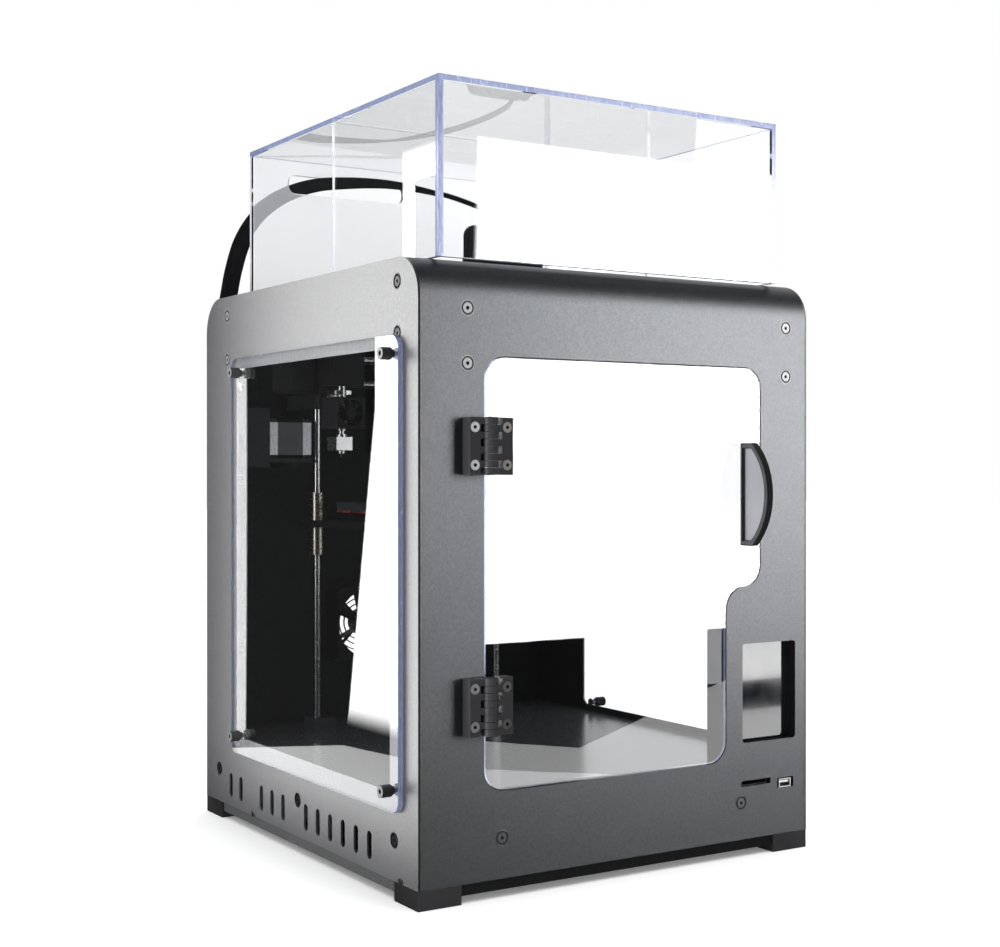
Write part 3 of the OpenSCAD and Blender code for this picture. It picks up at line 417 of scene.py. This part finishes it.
def lid(node):
    """Half of the lid: sheets glued edge on face, so that their ends show as blue strips.

    The ends at the middle and at the rear wall are pale, and that wall has a film on its inner face, which
    glows faintly with painted light.
    """
    lo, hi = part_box(node)
    front = node == "lid_front"
    bm = clean_copy(node)
    cut(bm, (0, 0, hi.z - LID_WALL), (0, 0, 1))
    end = lo.y + LID_WALL if front else hi.y - LID_WALL
    cut(bm, (0, end, 0), (0, 1, 0))
    for x in (lo.x + LID_WALL, hi.x - LID_WALL):
        cut(bm, (x, 0, 0), (1, 0, 0))
    for f in bm.faces:
        c, n = f.calc_center_median(), f.normal
        outer = c.x < lo.x + LID_WALL or c.x > hi.x - LID_WALL
        beyond = c.y < end if front else c.y > end - NEAR
        rim = c.z > hi.z - LID_WALL and abs(n.z) < 0.5
        foot = n.z < -0.9 and c.z < lo.z + NEAR
        open_end = abs(n.y) > 0.9 and (c.y > hi.y - NEAR if front else c.y < lo.y + NEAR)
        f.material_index = 1 if rim or foot or open_end or (outer and beyond) else 0
        if not front and beyond and not rim:
            # The inner face of the rear wall: the film, with its painted glow.
            if n.y < -0.9:
                f.material_index = 3
            elif outer and abs(n.z) < 0.5:
                f.material_index = 2
        if open_end:
            f.material_index = 2
    mats = [CLEAR, EDGE, PALE_EDGE, FILM_AND_PAINTED_GLOW]
    return put(node + "_finished", bm, mats, BODY_OF[node], "clear_acrylic", [node], 0.0005)


CAP = 9.5 * MM
Y_MOTOR_X = (-0.170, -0.122)
Z_MOTOR_Z = (0.036, 0.084)
X_MOTORS_Y = (0.065, 0.113)
BELOW_Y_MOTOR = 0.2


def motors(node, places):
    """Stepper motors with bare end caps and a dark stack of laminations between them.

    places: for each motor its axis, the two ends along it and a test for its faces.
    """
    bm = clean_copy(node)
    marked = []
    for axis, a, b, _ in places:
        for at in (a + CAP, b - CAP):
            point = [0.0, 0.0, 0.0]
            point[axis] = at
            cut(bm, point, [1.0 if k == axis else 0.0 for k in range(3)])
    for f in bm.faces:
        c = f.calc_center_median()
        for axis, a, b, mine in places:
            if mine(c) and abs(f.normal[axis]) < 0.5 and a + CAP < c[axis] < b - CAP:
                marked.append(f)
    for f in marked:
        f.material_index = 1
    mats = [LOOKS["motor_metal"], LAMINATE]
    return put(node + "_finished", bm, mats, BODY_OF[node], SLOT_OF[node], [node], 0.0004)


BOARD_TOP = 0.0578
SOCKETS_AHEAD_OF = -0.2
USB_FROM_X = 0.175
TONGUE_X = (0.1818, 0.1945)
TONGUE_Z = (0.0651, 0.0674)
TONGUE_AHEAD_OF = -0.2162


def circuit_board():
    """The board, with nickel sockets and the white tongue of the USB socket."""
    node = "control_board"
    bm = clean_copy(node)
    for f in bm.faces:
        c = f.calc_center_median()
        if c.y < SOCKETS_AHEAD_OF and c.z > BOARD_TOP:
            inside = TONGUE_X[0] < c.x < TONGUE_X[1] and TONGUE_Z[0] < c.z < TONGUE_Z[1]
            inside = inside and c.y < TONGUE_AHEAD_OF
            f.material_index = 3 if inside else 1 if c.x > USB_FROM_X else 2
        elif c.z > BOARD_TOP:
            f.material_index = 2
    mats = [LOOKS["board_green"], NICKEL, LOOKS["black_plastic"], TONGUE]
    put(node + "_finished", bm, mats, "cabinet", SLOT_OF[node], [node], 0.0002)


HANDLE_RIM = 3 * MM


def handle():
    """The pull, whose dished inner face is painted light grey: painted light on the black plastic."""
    node = "door_handle"
    lo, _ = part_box(node)
    bm = clean_copy(node)
    for f in bm.faces:
        # The dish faces get the lighter copy of the plastic, which is painted light.
        f.material_index = 1 if f.normal.x < -0.9 and f.calc_center_median().x > lo.x + HANDLE_RIM else 0
    put(node + "_finished", bm, [LOOKS[SLOT_OF[node]], DISH_PAINTED_LIGHT], BODY_OF[node], SLOT_OF[node], [node], 0.0008)


# Painted shade for the screws' hexagon sockets and for the grooves round their heads.
SOCKET = moulded("socket_shade", (0.006, 0.006, 0.006), 0.6)
GROOVE = metal("screw_groove_painted_shade", (0.10, 0.10, 0.105), 0.4)
FOOT = moulded("foot_block", (0.026, 0.026, 0.028), 0.5)
HINGE = moulded("hinge_plastic", (0.024, 0.024, 0.026), 0.45)
HINGE_SCREW = metal("hinge_screw_steel", (0.2, 0.19, 0.18), 0.36)
HEX_R = 1.75 * MM
GROOVE_R = (4.55 * MM, 6.05 * MM)


def islands(bm):
    """Groups of faces that hang together."""
    left = set(bm.faces)
    while left:
        todo = [left.pop()]
        group = []
        while todo:
            f = todo.pop()
            group.append(f)
            for e in f.edges:
                for g in e.link_faces:
                    if g in left:
                        left.remove(g)
                        todo.append(g)
        yield group


def screws(node):
    """Screws with painted shade in the hexagon socket and in the groove round the head."""
    bm = clean_copy(node)
    for group in islands(bm):
        at = [v.co for f in group for v in f.verts]
        lo = Vector([min(p[k] for p in at) for k in range(3)])
        hi = Vector([max(p[k] for p in at) for k in range(3)])
        size, mid = hi - lo, (lo + hi) / 2
        axis = 0 if abs(size.y - size.z) < 1e-4 else 1
        for f in group:
            off = [v.co - mid for v in f.verts]
            for p in off:
                p[axis] = 0
            near, far = min(p.length for p in off), max(p.length for p in off)
            # Faces in the hexagon socket and in the groove ring get the painted shade.
            f.material_index = 1 if far < HEX_R else 2 if GROOVE_R[0] < near and far < GROOVE_R[1] else 0
    mats = [HINGE_SCREW if "hinge" in node else LOOKS["screw_steel"], SOCKET, GROOVE]
    put(node + "_finished", bm, mats, BODY_OF[node], SLOT_OF[node], [node], 0.0002)


def one_material(node, material, bevel=0.0003):
    put(node + "_finished", clean_copy(node), [material], BODY_OF[node], SLOT_OF[node], [node], bevel)


PANES = {"door_panel": 1, "side_windows": 0}
LIDS = ("lid_front", "lid_rear")
SCREWS = ("panel_screws", "hinge_door_screws")
SPECIAL = {"umbilical", "control_board", "door_handle"}
SPECIAL.update(["drive_motors", "x_motors", "z_screw", "bed_bearings"])
SPECIAL.update(TEETH, SCREWS, ["feet", "hinge_frame_leaves", "hinge_door_leaves"])
for node in NODES:
    if node in PANES:
        pane(node, PANES[node])
    elif node in LIDS:
        lid(node)
    elif node not in SPECIAL:
        finished(node)
circuit_board()
handle()
one_material("z_screw", THREAD)
one_material("bed_bearings", BEARING)
one_material("feet", FOOT, 0.0006)
one_material("hinge_frame_leaves", HINGE, 0.0006)
one_material("hinge_door_leaves", HINGE, 0.0006)
for node in SCREWS:
    screws(node)
for node in TEETH:
    one_material(node, TEETH[node], 0.0)
motors(
    "drive_motors",
    [(0, *Y_MOTOR_X, lambda c: c.z > BELOW_Y_MOTOR), (2, *Z_MOTOR_Z, lambda c: c.z < BELOW_Y_MOTOR)],
)
motors("x_motors", [(1, *X_MOTORS_Y, lambda c: True)])


# ---------- the flat loom ----------

LOOM_POINTS = [
    (-184, 222, 66), (-184, 222, 190), (-184, 222, 320), (-184, 222, 400), (-184, 222, 432),
    (-184, 225, 446), (-184, 233, 454), (-184, 244, 458), (-184, 256, 466), (-184, 264, 480),
    (-184, 268.5, 500), (-182, 268.6, 524), (-177, 265, 552), (-174.5, 255, 584), (-170, 240, 615),
    (-159.5, 221, 640), (-144, 200, 656.5), (-128, 179, 665), (-111, 163, 669.5), (-90, 150, 671),
    (-66, 138, 671.5), (-42, 126, 670), (-18, 113, 665.5), (6, 100, 659), (30, 88, 650),
    (52, 76, 639), (66, 68, 627), (70, 66, 606),
]
LOOM_W = 20.0
LOOM_T = 2.7
# The loom turns by LOOM_TURN degrees over the first TURN_OVER mm from LOOM_X, and tilts over TILT_OVER.
LOOM_X = -182
LOOM_TURN = 59.0
TURN_OVER = 150
LOOM_TILT = 0.45
TILT_OVER = 182
TILT_EASE = 0.6
LOOM_CORES = 10
LOOM_BACK = 268.0


def smooth_path(points, steps):
    ends = [Vector(points[0]) * 2 - Vector(points[1])]
    ends += [Vector(p) for p in points]
    ends += [Vector(points[-1]) * 2 - Vector(points[-2])]
    out = []
    for i in range(1, len(ends) - 2):
        a, b, c, d = ends[i - 1 : i + 3]
        for k in range(steps):
            t = k / steps
            p = 2 * b + (c - a) * t + (2 * a - 5 * b + 4 * c - d) * t * t + (3 * b - a - 3 * c + d) * t**3
            out.append(p / 2)
    return out + [ends[-2]]


def loom_section():
    """Half widths and thickness round the ribbed section, from -0.5 to 0.5."""
    per = 6
    n = LOOM_CORES * per
    top = [(i / n - 0.5, 0.36 + 0.14 * abs(math.sin(math.pi * i / per))) for i in range(n + 1)]
    return top + [(x, -y) for x, y in reversed(top)]


def loom():
    mid = smooth_path(LOOM_POINTS, 10)
    mid = [Vector((p.x, min(p.y, LOOM_BACK), p.z)) for p in mid]
    section = loom_section()
    bm = bmesh.new()
    rings = []
    for i, p in enumerate(mid):
        t = (mid[min(i + 1, len(mid) - 1)] - mid[max(i - 1, 0)]).normalized()
        f = max(0.0, min(1.0, (p.x - LOOM_X) / TURN_OVER))
        g = max(0.0, min(1.0, (p.x - LOOM_X) / TILT_OVER)) ** TILT_EASE
        a = math.radians(LOOM_TURN * f)
        w = Vector((math.cos(a), math.sin(a), -LOOM_TILT * math.sin(math.pi * g)))
        w = (w - t * w.dot(t)).normalized()
        u = t.cross(w)
        rings.append([bm.verts.new((p + w * x * (LOOM_W - 0.4) + u * y * LOOM_T) * MM) for x, y in section])
    count = len(section)
    for a, b in zip(rings, rings[1:]):
        for k in range(count):
            bm.faces.new((a[k], a[(k + 1) % count], b[(k + 1) % count], b[k]))
    bm.faces.new(rings[0][::-1])
    bm.faces.new(rings[-1])
    bmesh.ops.recalc_face_normals(bm, faces=bm.faces)
    obj = put("flat_loom", bm, [LOOKS["loom_black"]], None, "loom_black", ["umbilical"], 0.0, 75.0)
    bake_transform(obj)


loom()


# ---------- floor, light and view ----------


def flat(name, corners, material, faces=None):
    me = bpy.data.meshes.new(name)
    me.from_pydata([Vector(c) for c in corners], [], faces or [range(len(corners))])
    me.materials.append(material)
    obj = bpy.data.objects.new(name, me)
    bpy.context.scene.collection.objects.link(obj)
    return obj


FLOOR_GLOW = 0.18
# White all round for direct looks. In mirrors, a dark room with a white backdrop behind the object.
WORLD_LIGHT = 1.0
ROOM_IN_MIRRORS = 0.035
# More light from what is seen through the clear pieces.
BEHIND_CLEAR = 0.22


def mirrored(tree):
    """1 for a ray that came off a mirror-like surface, 0 for all others."""
    path = tree.nodes.new("ShaderNodeLightPath")
    n = tree.nodes.new("ShaderNodeMath")
    n.operation = "SUBTRACT"
    n.use_clamp = True
    tree.links.new(path.outputs["Is Reflection Ray"], n.inputs[0])
    tree.links.new(path.outputs["Is Diffuse Ray"], n.inputs[1])
    return n.outputs[0]


def backdrop(tree, place, x, y):
    """Brightness in mirrors: 1 towards the backdrop, which starts between the given x and y limits."""
    split = tree.nodes.new("ShaderNodeSeparateXYZ")
    tree.links.new(place, split.inputs[0])
    parts = []
    for socket, limits in ((0, x), (1, y)):
        n = tree.nodes.new("ShaderNodeMapRange")
        n.inputs["From Min"].default_value, n.inputs["From Max"].default_value = limits
        tree.links.new(split.outputs[socket], n.inputs[0])
        parts.append(n.outputs[0])
    both = tree.nodes.new("ShaderNodeMath")
    both.operation = "MULTIPLY"
    for k in (0, 1):
        tree.links.new(parts[k], both.inputs[k])
    level = tree.nodes.new("ShaderNodeMapRange")
    level.inputs["To Min"].default_value = ROOM_IN_MIRRORS
    level.inputs["To Max"].default_value = 1.0
    tree.links.new(both.outputs[0], level.inputs[0])
    return level.outputs[0]


def floor_material():
    m = Mat("floor_paper")
    fine = m.noise(220.0, 3.0)
    m.link(m.mix(m.remap(fine, 0.0, 1.0), (0.93, 0.93, 0.93), (0.96, 0.96, 0.96)), m.b.inputs["Base Color"])
    m.set(Roughness=0.7, Specular_IOR_Level=0.2)
    room = m.t.nodes.new("ShaderNodeEmission")
    m.link(backdrop(m.t, m.pos, (-0.4, 0.0), (0.35, 0.7)), room.inputs[1])
    m.set(Emission_Color=(1.0, 1.0, 1.0, 1.0), Emission_Strength=FLOOR_GLOW)
    mix = m.t.nodes.new("ShaderNodeMixShader")
    m.link(mirrored(m.t), mix.inputs[0])
    m.link(m.b.outputs[0], mix.inputs[1])
    m.link(room.outputs[0], mix.inputs[2])
    m.link(mix.outputs[0], m.out.inputs[0])
    return m.m


def card_material(name, strength):
    """Light that fades towards the card's rim."""
    m = bpy.data.materials.new(name)
    m.use_nodes = True
    m.node_tree.nodes.clear()
    out = m.node_tree.nodes.new("ShaderNodeOutputMaterial")
    e = m.node_tree.nodes.new("ShaderNodeEmission")
    fade = m.node_tree.nodes.new("ShaderNodeAttribute")
    fade.attribute_name = "fade"
    ramp = m.node_tree.nodes.new("ShaderNodeMapRange")
    ramp.interpolation_type = "SMOOTHSTEP"
    ramp.inputs["To Max"].default_value = strength
    m.node_tree.links.new(fade.outputs["Fac"], ramp.inputs[0])
    m.node_tree.links.new(ramp.outputs[0], e.inputs[1])
    m.node_tree.links.new(e.outputs[0], out.inputs[0])
    return m


def card(name, corners, strength, rim=0.04):
    """A softbox's face that only mirrors see, dimming over its rim."""
    outer = [Vector(c) for c in corners]
    mid = sum(outer, Vector()) / len(outer)
    inner = [p.lerp(mid, rim) for p in outer]
    outer = [p.lerp(mid, -rim) for p in outer]
    n = len(outer)
    faces = [range(n, 2 * n)] + [(k, (k + 1) % n, n + (k + 1) % n, n + k) for k in range(n)]
    obj = flat(name, outer + inner, card_material(name, strength), faces)
    level = obj.data.attributes.new("fade", "FLOAT", "POINT")
    for k in range(n):
        level.data[n + k].value = 1.0
    obj.visible_camera = False
    obj.visible_diffuse = False
    obj.visible_shadow = False
    obj.visible_transmission = False
    return obj


def only_on(light, nodes):
    """Keeps a lamp or a card to the pieces that stand for these nodes."""
    group = bpy.data.collections.new(light.name + "_on")
    for node in nodes:
        group.objects.link(bpy.data.objects["flat_loom" if node == "umbilical" else node + "_finished"])
    light.light_linking.receiver_collection = group
    return light


METAL_SLOTS = {"bright_steel", "screw_steel", "motor_metal", "hotend_metal", "nut_brass", "supply_case"}
METALS = [n for n in NODES if SLOT_OF[n] in METAL_SLOTS]
SCREW_HEADS = ["panel_screws", "hinge_door_screws"]
FRONT = ["front_top_shell", "hinge_frame_leaves", "hinge_door_leaves", "door_handle", "feet", "base_tray"]
LEFT = ["left_side_panel", "base_tray", "window_thumbscrews", "door_handle"]
LEFT += ["hinge_frame_leaves", "hinge_door_leaves"]
INSIDE = ["drive_cover", "rod_supports", "left_carriage", "bed_frame", "build_plate", "left_feeder"]

FLOOR = 12.0
corners = [(-FLOOR, -FLOOR, 0), (FLOOR, -FLOOR, 0), (FLOOR, FLOOR, 0), (-FLOOR, FLOOR, 0)]
floor = flat("floor", corners, floor_material())

# Softbox faces in front of the object, given by x and z, and to the left of it, given by y and z.
# Each is a plain given shape, a little slanted where its mirror image is.
FRONT_CARD_Y = -1.9
FRONT_CARD = [(0.84, 0.0), (2.6, 0.0), (2.6, 1.06), (0.88, 1.06)]
BEND_CARD = [(0.86, 1.08), (2.6, 1.08), (2.6, 1.62), (0.86, 1.62)]
LID_CARD_X = -0.7
LID_CARD = [(0.60, 0.40), (0.78, 0.40), (0.78, 0.85), (0.60, 0.85)]
WINDOW_CARD_X = -0.6
WINDOW_CARD = [(0.42, 0.02), (0.64, 0.02), (0.56, 0.45), (0.56, 0.75), (0.42, 0.75)]
# Lit ground to the left and in front, given by x and y.
GROUND_Z = 0.003
LEFT_GROUND = [(-0.25, 0.62), (-0.52, 0.50), (-0.60, 0.05), (-0.25, 0.05)]
FRONT_GROUND = [(-0.10, -0.30), (0.10, -1.10), (0.33, -0.78), (1.20, -1.38), (1.20, -0.30)]

only_on(
    card("front_card", [(x, FRONT_CARD_Y, z) for x, z in FRONT_CARD], 28.0, 0.01),
    ["door_panel", "lid_front", "front_top_shell"],
)
only_on(card("bend_card", [(x, FRONT_CARD_Y, z) for x, z in BEND_CARD], 22.0), ["front_top_shell"])
only_on(card("lid_card", [(LID_CARD_X, y, z) for y, z in LID_CARD], 12.0), LIDS)
only_on(card("window_card", [(WINDOW_CARD_X, y, z) for y, z in WINDOW_CARD], 12.0, 0.05), ["side_windows"])
only_on(card("left_ground", [(x, y, GROUND_Z) for x, y in LEFT_GROUND], 3.4, 0.02), ["side_windows"])
only_on(card("front_ground", [(x, y, GROUND_Z) for x, y in FRONT_GROUND], 5.2, 0.01), ["door_panel"])

world = bpy.data.worlds.new("studio")
bpy.context.scene.world = world
world.use_nodes = True
tree = world.node_tree
sky = tree.nodes["Background"]
sky.inputs[0].default_value = (1.0, 1.0, 1.0, 1.0)
level = tree.nodes.new("ShaderNodeMix")
level.inputs[2].default_value = WORLD_LIGHT
direction = tree.nodes.new("ShaderNodeTexCoord").outputs["Generated"]
tree.links.new(mirrored(tree), level.inputs[0])
tree.links.new(backdrop(tree, direction, (-0.05, 0.15), (0.0, 0.2)), level.inputs[3])
path = tree.nodes.new("ShaderNodeLightPath")
more = tree.nodes.new("ShaderNodeMath")
more.operation = "MULTIPLY_ADD"
more.inputs[1].default_value = BEHIND_CLEAR
tree.links.new(path.outputs["Is Transmission Ray"], more.inputs[0])
tree.links.new(level.outputs[0], more.inputs[2])
tree.links.new(more.outputs[0], sky.inputs[1])


def area(name, at, aim, size, power, in_mirrors=False):
    data = bpy.data.lights.new(name, "AREA")
    data.shape = "RECTANGLE"
    data.size, data.size_y = size
    data.energy = power
    obj = bpy.data.objects.new(name, data)
    bpy.context.scene.collection.objects.link(obj)
    obj.location = at
    obj.rotation_euler = (Vector(aim) - Vector(at)).to_track_quat("-Z", "Y").to_euler()
    obj.visible_camera = False
    obj.visible_glossy = in_mirrors
    return obj


def softbox(name, at, aim, size, radiance):
    """A lamp that mirrors see, given by how bright its face is."""
    return area(name, at, aim, size, radiance * math.pi * size[0] * size[1], True)


sun = bpy.data.lights.new("sky_light", "SUN")
sun.energy = 1.6
sun.angle = math.radians(70)
sun_obj = bpy.data.objects.new("sky_light", sun)
bpy.context.scene.collection.objects.link(sun_obj)
sun_obj.rotation_euler = (math.radians(12), math.radians(8), 0)
sun_obj.visible_glossy = False
only_on(sun_obj, ["umbilical"]).light_linking.receiver_collection.objects.link(floor)

CENTRE = (0.0, 0.0, 0.3)
only_on(
    area("key_light", (1.6, -2.2, 1.9), CENTRE, (1.4, 1.4), 16),
    FRONT + SCREW_HEADS + ["control_board"],
)
only_on(area("left_light", (-2.4, 0.2, 1.2), CENTRE, (1.4, 1.4), 16), LEFT + SCREW_HEADS)
only_on(softbox("left_softbox", (-0.36, 0.04, 0.34), (0.0, 0.04, 0.34), (0.64, 0.68), 6.5), LEFT)
only_on(softbox("right_softbox", (1.4, -0.9, 0.7), CENTRE, (1.2, 1.2), 6.0), ["right_side_panel"])
only_on(softbox("back_softbox", (-0.8, 2.0, 0.8), CENTRE, (1.4, 1.2), 6.0), ["back_panel"])
only_on(
    softbox("metal_left", (-2.6, -0.9, 0.9), CENTRE, (0.8, 1.6), 4.0),
    METALS + INSIDE + ["control_board"],
)
only_on(softbox("metal_mid", (0.85, -1.8, 0.7), CENTRE, (0.7, 1.2), 1.5), METALS)
only_on(softbox("metal_right", (1.65, -1.8, 0.7), (0.2, 0, 0.3), (0.7, 1.2), 6.0), METALS)
only_on(
    softbox("screws_left", (-0.8, 1.2, 0.7), (-0.2, 0, 0.5), (1.1, 0.5), 1.3),
    ["panel_screws", "window_thumbscrews"],
)
only_on(
    area("cover_light", (-1.3, -1.2, 0.5), (-0.1, 0.1, 0.4), (0.5, 0.5), 45),
    ["drive_cover", "rod_supports"],
)
# close in front of the screen, for the light and dark bands it mirrors
only_on(softbox("screen_top", (0.51, -0.6, 0.127), (0.51, 0.0, 0.127), (0.14, 0.057), 9.0), ["lcd_screen"])
only_on(softbox("screen_low", (0.51, -0.6, 0.033), (0.51, 0.0, 0.033), (0.14, 0.058), 5.0), ["lcd_screen"])

sc = bpy.context.scene
sc.view_settings.view_transform = "Standard"
sc.view_settings.look = "None"
sc.cycles.use_denoising = True
sc.cycles.max_bounces = 20
sc.cycles.transmission_bounces = 18
sc.cycles.transparent_max_bounces = 24
sc.cycles.glossy_bounces = 6
sc.cycles.diffuse_bounces = 3
sc.cycles.caustics_reflective = False
sc.cycles.caustics_refractive = False
sc.cycles.sample_clamp_indirect = 6.0
